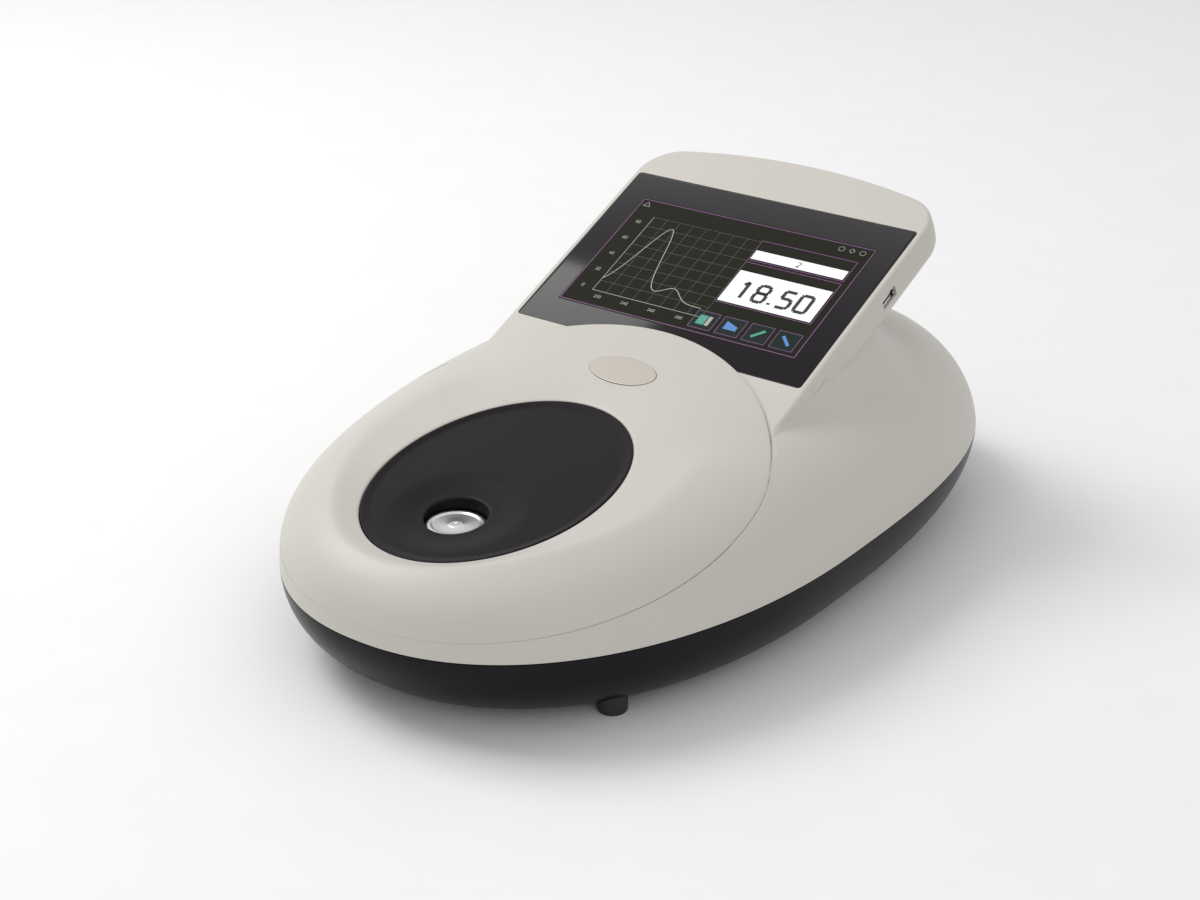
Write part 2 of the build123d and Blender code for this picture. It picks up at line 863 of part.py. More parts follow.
def return_fibre():
    path = Plane.YZ.offset(fibre_offset) * Wire([
        Line((spectro_front_y + spectro_wall, fibre_height), (well_y + fibre_bend, fibre_height)),
        RadiusArc((well_y + fibre_bend, fibre_height), (well_y, fibre_height + fibre_bend), fibre_bend),
    ])
    return sweep(Plane(path @ 0, z_dir=path % 0) * Circle(fibre_radius), path) + fibre_riser(fibre_offset)


def spectrometer_body():
    outer = block((spectro_left, spectro_front_y, chassis_top),
                  (spectro_right, spectro_rear_y, spectro_top))
    inner = block((spectro_left + spectro_wall, spectro_front_y + spectro_wall, chassis_top + spectro_wall),
                  (spectro_right - spectro_wall, spectro_rear_y - spectro_wall, spectro_top + 1))
    outer = fillet(outer.edges().filter_by(Axis.Z), 3)
    return outer - [inner, y_rod(fibre_offset, fibre_height, spectro_front_y - 1,
                                 spectro_front_y + 2 * spectro_wall, fibre_radius + screw_gap)]


def spectrometer_lid():
    lid = block((spectro_left, spectro_front_y, spectro_top),
                (spectro_right, spectro_rear_y, spectro_top + spectro_lid_thickness))
    return fillet(lid.edges().filter_by(Axis.Z), 3)


def slit_plate():
    front = spectro_front_y + spectro_wall + 0.2
    low = chassis_top + spectro_wall
    back = front + slit_plate_thickness
    plate = block((fibre_offset - slit_plate_half_width, front, low),
                  (fibre_offset + slit_plate_half_width, back, low + slit_plate_height))
    return plate - block((fibre_offset - slit_half_width, front - 1, fibre_height - slit_half_height),
                         (fibre_offset + slit_half_width, back + 1, fibre_height + slit_half_height))


def grating():
    low = chassis_top + spectro_wall
    middle = Pos(fibre_offset, spectro_rear_y - spectro_wall - grating_back, low)
    turned = middle * Rot(0, 0, grating_turn)
    plate = turned * Box(*grating_size, align=(Align.CENTER, Align.CENTER, Align.MIN))
    foot = turned * Box(*grating_foot_size, align=(Align.CENTER, Align.CENTER, Align.MIN))
    return plate + foot


def detector_board():
    low = chassis_top + spectro_wall
    right = spectro_right - spectro_wall
    face = right - board_thickness
    front, back = (spectro_front_y + station for station in detector_board_span)
    board = block((face, front, low), (right, back, low + detector_board_height))
    front, back = (spectro_front_y + station for station in sensor_span)
    sensor = block((face - sensor_thickness, front, low + sensor_levels[0]),
                   (face, back, low + sensor_levels[1]))
    return board + sensor


# Chassis and main board


def chassis_plate():
    plate = block((-chassis_half_width, chassis_front_y, chassis_height),
                  (chassis_half_width, chassis_rear_y, chassis_top))
    plate = fillet(plate.edges().filter_by(Axis.Z), chassis_corner)
    holes = [rod(x, y, 0, chassis_top + 1, chassis_screw_radius + head_gap) for x, y in chassis_bosses]
    return plate - holes


def chassis_screws():
    return together(
        screw(x, y, chassis_top, -chassis_screw_reach, chassis_screw_radius, chassis_screw_head_radius,
              chassis_screw_head_height)
        for x, y in chassis_bosses)


def board_standoffs():
    return together(
        tube(x, y, chassis_top, board_low, standoff_radius, small_screw_radius + screw_gap)
        for x, y in board_spots)


def board_screws():
    return together(
        screw(x, y, board_low + board_thickness, -board_screw_reach, small_screw_radius,
              small_screw_head_radius, small_screw_head_height)
        for x, y in board_spots)


def main_board():
    board = block((-board_half_width, board_front_y, board_low),
                  (board_half_width, board_rear_y, board_low + board_thickness))
    return board - [rod(x, y, 0, base_width, small_screw_radius + head_gap) for x, y in board_spots]


def board_parts():
    top = board_low + board_thickness
    middle = (board_front_y + board_rear_y) / 2
    pieces = [
        block((-45, middle - 14, top), (-17, middle + 14, top + 2.4)),
        block((10, middle - 20, top), (24, middle - 6, top + 1.4)),
        block((34, middle + 8, top), (50, middle + 24, top + 8)),
        block((-60, middle + 22, top), (-36, middle + 30, top + 9)),
        rod(48, middle - 20, top, top + 12, 5),
        rod(60, middle - 20, top, top + 12, 5),
    ]
    return together(pieces)


def ribbon_header():
    """Upright socket on the main board, with a slot for the ribbon's end."""
    low = board_low + board_thickness
    top = low + header_height
    half = ribbon_width / 2
    slot_half = ribbon_thickness / 2 + ribbon_gap
    body = block((-half - header_margin, ribbon_y - header_margin, low),
                 (half + header_margin, ribbon_y + header_margin, top))
    return body - block((-half - ribbon_gap, ribbon_y - slot_half, top - ribbon_bite - ribbon_gap),
                        (half + ribbon_gap, ribbon_y + slot_half, top + 1))


# Display


def display_glass():
    face = Pos(0, glass_length / 2) * RectangleRounded(glass_width, glass_length, glass_corner)
    return slab(head_plane, face, -glass_thickness, 0)


def display_gasket():
    middle = Pos(0, glass_length / 2)
    frame = middle * Rectangle(glass_width - 1, glass_length - 1)
    frame -= Pos(0, lcd_centre_up) * Rectangle(lcd_width - 4, lcd_length - 4)
    return slab(head_plane, frame, -glass_thickness - gasket_thickness, -glass_thickness)


def lcd_panel():
    back = -glass_thickness - gasket_thickness
    outline = Pos(0, lcd_centre_up) * Rectangle(lcd_width, lcd_length)
    return slab(head_plane, outline, back - lcd_thickness, back)


def display_bracket():
    top = lcd_back
    plate = Pos(0, lcd_centre_up) * Rectangle(2 * bracket_half_width, lcd_length - 2 * bracket_trim)
    for x, up in bracket_spots:
        ear = Rectangle(bracket_ear_width, bracket_ear_length)
        plate += Pos(x - copysign(bracket_ear_inset, x), up) * ear
    for x, up in bracket_spots:
        plate -= Pos(x, up) * Circle(small_screw_radius + head_gap)
    return slab(head_plane, plate, top - bracket_thickness, top)


def display_screws():
    back = lcd_back - bracket_thickness
    pieces = []
    for x, up in bracket_spots:
        spot = Pos(x, up)
        head = slab(head_plane, spot * Circle(small_screw_head_radius), back - small_screw_head_height, back)
        tip = -face_wall - 2 * small_screw_tip_gap
        pieces.append(head + slab(head_plane, spot * Circle(small_screw_radius), back, tip))
    return together(pieces)


def display_spacers():
    back = lcd_back - bracket_thickness
    return together(
        slab(head_plane, Pos(x, lcd_centre_up + up) * Circle(spacer_radius), back - spacer_height, back)
        for x in (-spacer_x, spacer_x) for up in (-spacer_up, spacer_up))


def display_board():
    back = lcd_back - bracket_thickness - spacer_height
    outline = Pos(0, lcd_centre_up) * Rectangle(display_board_width, display_board_length)
    return slab(head_plane, outline, back - board_thickness, back)


def display_header():
    middle = Pos(0, ribbon_up)
    outline = middle * Rectangle(ribbon_width + 2 * header_margin, 2 * header_margin)
    slot = middle * Rectangle(ribbon_width + 2 * ribbon_gap, ribbon_thickness + 2 * ribbon_gap)
    body = slab(head_plane, outline, header_back, display_board_back)
    return body - slab(head_plane, slot, header_back - 1, header_back + ribbon_bite + ribbon_gap)


def display_ribbon():
    start = ribbon_start
    drop = head_plane.z_dir * -ribbon_lead
    first = Line((start.Y, start.Z), (start.Y + drop.Y, start.Z + drop.Z))
    bend = JernArc(start=first @ 1, tangent=first % 1, radius=ribbon_bend, arc_size=-display_tilt)
    low = board_low + board_thickness + header_height - ribbon_bite
    last = Line(bend @ 1, ((bend @ 1).X, low))
    path = Plane.YZ * Wire([first, bend, last])
    strip = Plane(path @ 0, x_dir=(1, 0, 0), z_dir=path % 0) * Rectangle(ribbon_width, ribbon_thickness)
    return sweep(strip, path)


def usb_a_plane():
    """Plane across the head's right wall, with its own X up the face and Y out of the face."""
    middle = head_plane.from_local_coords(Vector(0, usb_a_up, -usb_a_below_face))
    return Plane(origin=middle, x_dir=head_plane.y_dir, z_dir=(1, 0, 0))


def usb_a_space(grow, left, right):
    return slab(usb_a_plane(), Rectangle(usb_a_width + 2 * grow, usb_a_height + 2 * grow), left, right)


def usb_a_socket():
    right = head_half_width
    left = right - usb_a_length
    metal = usb_a_space(0, left, right) - usb_a_space(-usb_metal, left + 1, right + 1)
    tongue_outline = Pos(0, -usb_tongue_thickness / 2) * Rectangle(usb_a_width - 3, usb_tongue_thickness)
    tongue = slab(usb_a_plane(), tongue_outline, left + 1, right - 2)
    return metal + tongue


def usb_a_board():
    left = head_half_width - usb_a_length - usb_board_reach
    drop = (usb_a_height + board_thickness) / 2
    plate = Pos(0, -drop) * Rectangle(usb_board_width, board_thickness)
    return slab(usb_a_plane(), plate, left, head_half_width - case_wall - 2)


# Rear connectors


def rear_panel():
    front = recess_back_y - panel_thickness
    plate = recess_box(-panel_gap, front, recess_back_y)
    cuts = [
        y_rod(inlet_x, connector_height, 0, 300, inlet_radius + screw_gap),
        usb_b_space(panel_cut_gap, 0, 300),
        switch_space(panel_cut_gap, 0, 300),
    ]
    for x, z in panel_spots:
        cuts.append(y_rod(x, z, 0, 300, small_screw_radius + screw_gap))
    return plate - cuts


def panel_screws():
    return together(
        y_rod(x, z, recess_back_y, recess_back_y + small_screw_head_height, small_screw_head_radius)
        + y_rod(x, z, recess_back_y - panel_thickness - panel_lip, recess_back_y, small_screw_radius)
        for x, z in panel_spots)


def power_inlet():
    front = recess_back_y - inlet_length
    body = y_rod(inlet_x, connector_height, front, recess_back_y, inlet_radius)
    body += y_rod(inlet_x, connector_height, recess_back_y, recess_back_y + inlet_flange,
                  inlet_radius + 1.5)
    body -= y_rod(inlet_x, connector_height, front + 2, 300, inlet_mouth_radius)
    return body + y_rod(inlet_x, connector_height, front + 1, recess_back_y - 1, inlet_pin_radius)


def usb_b_space(grow, front, back):
    return block(
        (usb_b_x - usb_b_width / 2 - grow, front, connector_height - usb_b_height / 2 - grow),
        (usb_b_x + usb_b_width / 2 + grow, back, connector_height + usb_b_height / 2 + grow),
    )


def usb_b_socket():
    front = recess_back_y - usb_b_length
    back = recess_back_y + 0.5
    metal = usb_b_space(0, front, back) - usb_b_space(-usb_b_wall, front + 3, back + 1)
    tongue = block((usb_b_x - 2.8, front + 2, connector_height - 1.6),
                   (usb_b_x + 2.8, back - 2.5, connector_height + 1.6))
    return metal + tongue


def switch_space(grow, front, back):
    half_width = switch_width / 2 + grow
    half_height = switch_height / 2 + grow
    return block((switch_x - half_width, front, connector_height - half_height),
                 (switch_x + half_width, back, connector_height + half_height))


def switch_housing():
    face = recess_back_y + switch_bezel
    body = switch_space(0, recess_back_y - switch_depth, recess_back_y)
    body += switch_space(1, recess_back_y, face)
    room = rocker_height / 2 + rocker_gap
    cavity = block((switch_x - rocker_width / 2 - rocker_gap, face - rocker_pivot_depth - room,
                    connector_height - room),
                   (switch_x + rocker_width / 2 + rocker_gap, face + 1, connector_height + room))
    bore = x_rod(face - rocker_pivot_depth, connector_height, switch_x - trunnion_reach,
                 switch_x + trunnion_reach, trunnion_radius + trunnion_gap)
    return body - [cavity, bore]


def switch_rocker():
    """Rocker with a shallow V-shaped face, round behind so that it turns in its room."""
    pivot_y = recess_back_y + switch_bezel - rocker_pivot_depth
    radius = rocker_height / 2
    rise = radius * tan(radians(rocker_angle))
    notch = make_face(Polyline(
        (rocker_waist, 0), (rocker_waist + rise, radius), (2 * radius, radius),
        (2 * radius, -radius), (rocker_waist + rise, -radius), (rocker_waist, 0)))
    body = x_rod(0, 0, -rocker_width / 2, rocker_width / 2, radius)
    body -= extrude(Plane.YZ * notch, rocker_width, both=True)
    body += x_rod(0, 0, 0.1 - trunnion_reach, trunnion_reach - 0.1, trunnion_radius)
    return Pos(switch_x, pivot_y, connector_height) * Rot(-rocker_angle, 0, 0) * body


def switch_terminals():
    back = recess_back_y - switch_depth
    return together(
        block((switch_x + x - terminal_thickness / 2, back - terminal_length,
               connector_height - terminal_width / 2),
              (switch_x + x + terminal_thickness / 2, back, connector_height + terminal_width / 2))
        for x in (-terminal_x, terminal_x))


nodes = [
    base_tub, upper_shell, front_cover, deck_insert, badge_plate, port_disc, port_window,
    port_seal, port_holder, rubber_feet, foot_screws, case_screws, optical_bench, lamp_housing,
    lamp_reflector, lamp_bulb, lamp_board, source_fibre, return_fibre, spectrometer_body,
    spectrometer_lid, slit_plate, grating, detector_board, chassis_plate, chassis_screws,
    board_standoffs, board_screws, main_board, board_parts, ribbon_header, display_glass,
    display_gasket, lcd_panel, display_bracket, display_screws, display_spacers, display_board,
    display_header, display_ribbon, usb_a_socket, usb_a_board, rear_panel, panel_screws,
    power_inlet, usb_b_socket, switch_housing, switch_rocker, switch_terminals,
]
os.makedirs("parts", exist_ok=True)
for node in nodes:
    export_step(node(), f"parts/{node.__name__}.step")
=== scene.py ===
import json
from math import cos, pi, radians, sin, tan

import bmesh
import bpy
import numpy as np
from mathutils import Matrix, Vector


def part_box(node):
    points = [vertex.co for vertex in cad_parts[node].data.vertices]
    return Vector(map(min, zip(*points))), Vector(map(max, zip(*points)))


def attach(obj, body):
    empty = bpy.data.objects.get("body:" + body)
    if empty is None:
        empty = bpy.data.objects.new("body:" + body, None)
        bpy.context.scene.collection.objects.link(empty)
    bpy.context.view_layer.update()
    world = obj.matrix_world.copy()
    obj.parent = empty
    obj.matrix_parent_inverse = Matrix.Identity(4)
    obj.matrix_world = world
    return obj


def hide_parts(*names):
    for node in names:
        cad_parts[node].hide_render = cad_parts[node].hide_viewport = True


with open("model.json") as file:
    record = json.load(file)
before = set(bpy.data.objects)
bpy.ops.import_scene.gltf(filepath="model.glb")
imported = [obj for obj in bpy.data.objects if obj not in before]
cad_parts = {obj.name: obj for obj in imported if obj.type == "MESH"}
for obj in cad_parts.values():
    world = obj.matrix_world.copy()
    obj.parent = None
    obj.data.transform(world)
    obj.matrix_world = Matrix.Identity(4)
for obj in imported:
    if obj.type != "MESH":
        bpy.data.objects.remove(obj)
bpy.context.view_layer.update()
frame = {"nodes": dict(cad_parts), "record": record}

# Tub: the black lower half of the case, an injection moulding in satin ABS.
# It is rounded like a dish under the rim, and four screws come up through it from below.


class Sock:
    """A shader socket that adds, subtracts and multiplies like a number."""

    tree = None

    def __init__(self, socket):
        self.socket = socket

    @classmethod
    def node(cls, kind, inputs=None, output=0, **settings):
        made = cls.tree.nodes.new(kind)
        for key, value in settings.items():
            setattr(made, key, value)
        for key, value in (inputs or {}).items():
            if isinstance(value, Sock):
                cls.tree.links.new(value.socket, made.inputs[key])
            else:
                made.inputs[key].default_value = value
        return cls(made.outputs[output])

    def _math(self, operation, first, second):
        return Sock.node("ShaderNodeMath", {0: first, 1: second}, operation=operation)

    def __add__(self, other):
        return self._math("ADD", self, other)

    def __radd__(self, other):
        return self._math("ADD", other, self)

    def __sub__(self, other):
        return self._math("SUBTRACT", self, other)

    def __rsub__(self, other):
        return self._math("SUBTRACT", other, self)

    def __mul__(self, other):
        return self._math("MULTIPLY", self, other)

    def __rmul__(self, other):
        return self._math("MULTIPLY", other, self)

    def tint(self, low, high):
        """Colour that runs from low to high as this value goes from 0 to 1."""
        return Sock.node("ShaderNodeMix", {0: self, 6: low, 7: high}, output=2, data_type="RGBA")


def finish(name, color, roughness, metallic=0.0, coat=0.0, grain=0.0, grain_size=0.0012,
           glow=None, glow_strength=0.0, shine=0.5):
    """Moulded, painted or rolled finish: a faintly clouded colour with a fine grain."""
    made = bpy.data.materials.new(name)
    made.use_nodes = True
    Sock.tree = made.node_tree
    shader = made.node_tree.nodes["Principled BSDF"]
    shader.inputs["Metallic"].default_value = metallic
    shader.inputs["Coat Weight"].default_value = coat
    shader.inputs["Specular IOR Level"].default_value = shine
    place = Sock.node("ShaderNodeTexCoord", output="Object")
    cloud = Sock.node("ShaderNodeTexNoise", {"Vector": place, "Scale": 22.0, "Detail": 3.0})
    shade = tuple(0.96 * part for part in color) + (1,)
    base = cloud.tint(shade, tuple(color) + (1,))
    rough = roughness - 0.02 + 0.04 * cloud
    links = made.node_tree.links
    links.new(base.socket, shader.inputs["Base Color"])
    links.new(rough.socket, shader.inputs["Roughness"])
    if grain:
        fine = Sock.node("ShaderNodeTexNoise", {"Vector": place, "Scale": 1 / grain_size, "Detail": 2.0})
        bump = Sock.node("ShaderNodeBump", {"Strength": grain, "Distance": 0.0001, "Height": fine})
        links.new(bump.socket, shader.inputs["Normal"])
    if glow:
        shader.inputs["Emission Color"].default_value = tuple(glow) + (1,)
        shader.inputs["Emission Strength"].default_value = glow_strength
    return made


def mesh_piece(name, points, faces, material, sharp=40.0):
    """Piece from points in millimetres, with its normals turned outwards."""
    data = bpy.data.meshes.new(name)
    data.from_pydata([tuple(float(part) * 0.001 for part in point) for point in points], [],
                     [tuple(int(index) for index in face) for face in faces])
    work = bmesh.new()
    work.from_mesh(data)
    loose = [vertex for vertex in work.verts if not vertex.link_faces]
    bmesh.ops.delete(work, geom=loose, context="VERTS")
    bmesh.ops.recalc_face_normals(work, faces=work.faces)
    if any(edge.is_boundary for edge in work.edges):
        if sum(face.normal.z * face.calc_area() for face in work.faces) < 0:
            bmesh.ops.reverse_faces(work, faces=work.faces)
    work.to_mesh(data)
    work.free()
    data.shade_smooth()
    data.set_sharp_from_angle(angle=radians(sharp))
    data.materials.append(material)
    made = bpy.data.objects.new(name, data)
    bpy.context.scene.collection.objects.link(made)
    return made


def strips(rows, columns, skip=()):
    """Quads between consecutive closed rows of equal length."""
    faces = []
    for row in range(rows - 1):
        for column in range(columns):
            a = row * columns + column
            b = row * columns + (column + 1) % columns
            if (row, column) not in skip:
                faces.append((a, b, b + columns, a + columns))
    return faces


def cap(row, columns):
    return tuple(range(row * columns, (row + 1) * columns))


def carve(piece, cutters, sharp=40.0):
    """Cuts closed cutter pieces out of a piece and deletes the cutters."""
    for cutter in cutters:
        change = piece.modifiers.new("cut", "BOOLEAN")
        change.object = cutter
        change.solver = "EXACT"
    depsgraph = bpy.context.evaluated_depsgraph_get()
    data = bpy.data.meshes.new_from_object(piece.evaluated_get(depsgraph))
    piece.modifiers.clear()
    data.materials.clear()
    data.materials.append(piece.data.materials[0])
    for face in data.polygons:
        face.material_index = 0
    data.shade_smooth()
    data.set_sharp_from_angle(angle=radians(sharp))
    piece.data = data
    for cutter in cutters:
        bpy.data.objects.remove(cutter)


def upright(name, x, y, low, high, radius, material, count=40):
    turn = np.arange(count) * 2 * pi / count
    points = [(x + radius * cos(a), y + radius * sin(a), z) for z in (low, high) for a in turn]
    return mesh_piece(name, points, strips(2, count) + [cap(0, count), cap(1, count)], material)


def thicken(piece, depth):
    """Gives an open skin a wall behind it."""
    wall = piece.modifiers.new("wall", "SOLIDIFY")
    wall.thickness = depth
    wall.offset = -1.0


half_width, rim, front_y, rear_y, widest_y = 140.0, 44.0, -227.75, 227.75, -14.75
front_power, rear_power = 2.16, 2.79


def signed_power(value, exponent):
    return np.sign(value) * np.abs(value) ** exponent


def case_oval(angle, half, front, rear, station):
    """Plan of the case: a front and a rear half oval that meet at the widest station."""
    ahead = np.sin(angle) < 0
    power = np.where(ahead, front_power, rear_power)
    reach = np.where(ahead, station - front, rear - station)
    return (half * signed_power(np.cos(angle), 2 / power),
            station + reach * signed_power(np.sin(angle), 2 / power))


def even_angles(count):
    """Angles that space points evenly round the case."""
    dense = np.linspace(0, 2 * pi, 20001)
    x, y = case_oval(dense, half_width, front_y, rear_y, widest_y)
    length = np.concatenate([[0], np.cumsum(np.hypot(np.diff(x), np.diff(y)))])
    return np.interp(np.arange(count) * length[-1] / count, length, dense)


tub_black = finish("tub_black", (0.006, 0.005, 0.007), 0.30, grain=0.05, shine=0.14)
tub_columns = 320
tub_angles = even_angles(tub_columns)
tub_rows = []
for turn in (0, 0.5, 1.5, 3, *range(6, 91, 6)):
    bend = radians(turn)
    draw = 1 - 0.18 * (1 - abs(cos(bend)) ** (2 / 1.8))
    edge = 0.5 if turn == 0 else 0.0
    x, y = case_oval(tub_angles, (half_width - edge) * draw, widest_y - (213.0 - edge) * draw,
                     widest_y + (242.5 - edge) * draw, widest_y)
    z = rim - 0.15 - 39.85 * sin(bend) ** (2 / 1.8)
    tub_rows.append(np.stack([x, y, np.full_like(x, z)], -1))
tub_faces = strips(len(tub_rows), tub_columns)
tub_faces += [cap(0, tub_columns), cap(len(tub_rows) - 1, tub_columns)]
tub = mesh_piece("tub_moulding", np.concatenate(tub_rows), tub_faces, tub_black, sharp=50)
screw_wells = [upright("well", side * x, y, -5.0, 20.0, 4.0, tub_black)
               for x, y in ((108.0, -62.0), (94.0, 120.0)) for side in (1, -1)]
carve(tub, screw_wells, sharp=50)
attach(tub, "case")
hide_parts("base_tub")

# Upper shell: dome and display head in one warm white satin moulding, without a seam between them.
# The crease in front of the head's side opens into a growing concave fillet towards the back.
shell_white = finish("shell_white", (0.56, 0.535, 0.49), 0.42, grain=0.06, shine=0.35)
crown_y, crown_rise = 23.4, 66.0
recess_half, recess_low, recess_high, recess_back = 46.0, 49.0, 77.0, 194.5


def dome_outline(share):
    share = np.clip(share, 0, 0.9995)
    front = crown_y - (crown_y - front_y) * (1 - share ** 4.1) ** (1 / 1.2)
    rear = crown_y + (rear_y - crown_y) * (1 - share ** 1.2) ** (1 / 6.0)
    station = widest_y + (crown_y - widest_y) * share ** 2
    return half_width * (1 - share ** 2.0) ** (1 / 3.5), front, rear, station


def dome_at(angle, share):
    """Point of the dome's surface."""
    x, y = case_oval(angle, *dome_outline(share))
    return x, y, rim + crown_rise * np.broadcast_to(share, x.shape)


def dome_height(x, y):
    """Height of the dome's surface over points in plan."""
    low, high = np.zeros(np.shape(x)), np.full(np.shape(x), 0.9995)
    for _ in range(26):
        share = (low + high) / 2
        half, front, rear, station = dome_outline(share)
        ahead = y < station
        reach = np.where(ahead, station - front, rear - station)
        power = np.where(ahead, front_power, rear_power)
        under = np.abs(x / half) ** power + np.abs((y - station) / reach) ** power < 1
        low, high = np.where(under, share, low), np.where(under, high, share)
    return rim + crown_rise * low


def soft_step(value):
    value = np.clip(value, 0, 1)
    return value * value * (3 - 2 * value)


def face_height(y):
    """Height of the head's tilted face."""
    return 113.8 + (y - 8.7) * tan(radians(24.0))


def seat_height(y):
    """Height of the seam round the front cover: an arc on the dome, then the head's face."""
    run = y - front_y
    return np.where(y < -31.0, 53.0 + 0.0819 * run + 0.000695 * run * run, face_height(y))


def neck_distance(x, y):
    """Plan distance from the head's side in front, and from the neck's outline behind."""
    half = 95.2 - 6.0 * soft_step((y - 15) / 60)
    corner = 38.0
    across = np.abs(x) - (half - corner)
    along = np.abs(y - 31.0) - (75.0 - corner)
    away = np.hypot(np.maximum(across, 0), np.maximum(along, 0)) - corner
    away = away + np.minimum(np.maximum(across, along), 0)
    return np.where(y < 20, np.abs(x) - half, away)


def fillet_rise(x, y):
    """Lift of the dome where it sweeps up into the head's side and the neck behind it."""
    away = neck_distance(x, y)
    radius = 36.0 * soft_step((y + 30) / 120) + 0.01
    t = np.clip(away / radius, 0, 1)
    rise = radius * (1 - np.sqrt(np.clip(1 - (1 - t) ** 2, 0, 1)))
    return rise * np.clip(1 + away / 6.0, 0, 1)


cover_half, cover_mid, cover_ahead, cover_behind = 120.7, -95.0, 132.3, 114.2
cover_columns = 360
cover_turn = np.arange(cover_columns) * 2 * pi / cover_columns
cover_reach = np.where(np.sin(cover_turn) < 0, cover_ahead, cover_behind)
low, high = np.full(cover_columns, 0.85), np.full(cover_columns, 1.03)
for _ in range(24):
    middle = (low + high) / 2
    y = cover_mid + cover_reach * middle * np.sin(cover_turn)
    over = dome_height(cover_half * middle * np.cos(cover_turn), y) > seat_height(y) + 0.45
    low, high = np.where(over, middle, low), np.where(over, high, middle)
rear_blend = soft_step((cover_mid + cover_reach * np.sin(cover_turn) + 85.0) / 50.0)
cover_scale = low + (1 - low) * rear_blend


def outside_cover(x, y):
    """Whether a point in plan lies outside the cover's edge."""
    ahead = (y - cover_mid) / np.where(y < cover_mid, cover_ahead, cover_behind)
    turn = np.arctan2(ahead, x / cover_half)
    limit = np.interp(turn, cover_turn, cover_scale, period=2 * pi)
    return np.hypot(x / cover_half, ahead) > limit + 0.002


dome_columns = 360
dome_angles = even_angles(dome_columns)
low, high = np.zeros(dome_columns), np.full(dome_columns, 0.9)
for _ in range(30):
    middle = (low + high) / 2
    x, y, z = dome_at(dome_angles, middle)
    clear = np.where(y < cover_mid, z < seat_height(y), outside_cover(x, y))
    low, high = np.where(clear, middle, low), np.where(clear, high, middle)
x, y, z = dome_at(dome_angles, low)
seamed = (y < -22.0) & (np.sin(dome_angles) < 0)
seam = np.where(seamed, low, low[seamed].max())
seam_row = 36
flange_rows = 5
shares = [seam * t for t in np.linspace(0, 1, seam_row + 1)]
shares += [seam + (0.9995 - seam) * t for t in 1 - (1 - np.linspace(0, 1, 73)[1:]) ** 1.4]
dome_rows = []
for row, share in enumerate(shares):
    x, y, z = dome_at(dome_angles, share)
    z = z + fillet_rise(x, y) + (0.2 if row == 0 else 0.0)
    if row > seam_row:
        sunk = 0.8 * soft_step((1 - np.hypot(x / 120.7, (y + 95.0) / 114.2)) / 0.02)
        z = z - np.where(seamed, 1.2, sunk)
    dome_rows.append(np.stack([x, y, z], -1))
plan = np.stack(dome_rows)
covered = (plan[..., 0] / 118.7) ** 2 + ((plan[..., 1] + 95.0) / 112.2) ** 2 < 1
buried = (neck_distance(plan[..., 0], plan[..., 1]) < -3) & (plan[..., 1] > 25)
skip = set()
for row in range(seam_row, len(shares) - 1):
    for column in range(dome_columns):
        following = (column + 1) % dome_columns
        under_cover = covered[row:row + 2, [column, following]].all()
        under_head = buried[row:row + 2, [column, following]].all()
        inside = seamed[column] and seamed[following] and row >= seam_row + flange_rows
        if inside or under_cover or under_head:
            skip.add((row, column))
dome = mesh_piece("shell_dome", np.concatenate(dome_rows), strips(len(shares), dome_columns, skip),
                  shell_white, sharp=50)
thicken(dome, 0.0024)
corners = [(x, y, z) for z in (recess_low, recess_high) for y in (recess_back, 250.0)
           for x in (-recess_half, recess_half)]
block_faces = [(0, 1, 3, 2), (4, 5, 7, 6), (0, 1, 5, 4), (2, 3, 7, 6), (0, 2, 6, 4), (1, 3, 7, 5)]
carve(dome, [mesh_piece("rear_cut", corners, block_faces, shell_white)], sharp=50)
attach(dome, "case")
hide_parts("upper_shell")

recess_edge = []
for (ax, az), (bx, bz) in (((-1, 0), (1, 0)), ((1, 0), (1, 1)), ((1, 1), (-1, 1)), ((-1, 1), (-1, 0))):
    for t in np.linspace(0, 1, 24, endpoint=False):
        recess_edge.append((recess_half * (ax + (bx - ax) * t),
                            recess_low + (recess_high - recess_low) * (az + (bz - az) * t)))
recess_edge = np.array(recess_edge)
half, front, rear, station = dome_outline((recess_edge[:, 1] - rim) / crown_rise)
skin_y = station + (rear - station) * (1 - np.abs(recess_edge[:, 0] / half) ** rear_power) ** (1 / rear_power)
recess_rows = [np.stack([recess_edge[:, 0], y, recess_edge[:, 1]], -1)
               for y in (np.full(len(skin_y), recess_back), skin_y - 0.6)]
recess = mesh_piece("shell_recess", np.concatenate(recess_rows), strips(2, len(recess_edge)), shell_white)
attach(recess, "case")

face_origin = np.array([0, 8.7, 113.8])
face_up = np.array([0, cos(radians(24)), sin(radians(24))])
face_out = np.array([0, -sin(radians(24)), cos(radians(24))])
glass_centre_up = 63.4


def on_face(x, up, out):
    """Points from the head's own axes: across, up its face and out of it."""
    x, up, out = np.broadcast_arrays(np.asarray(x, float), np.asarray(up, float), np.asarray(out, float))
    across = np.stack([x, 0 * x, 0 * x], -1)
    return across + face_origin + up[..., None] * face_up + out[..., None] * face_out


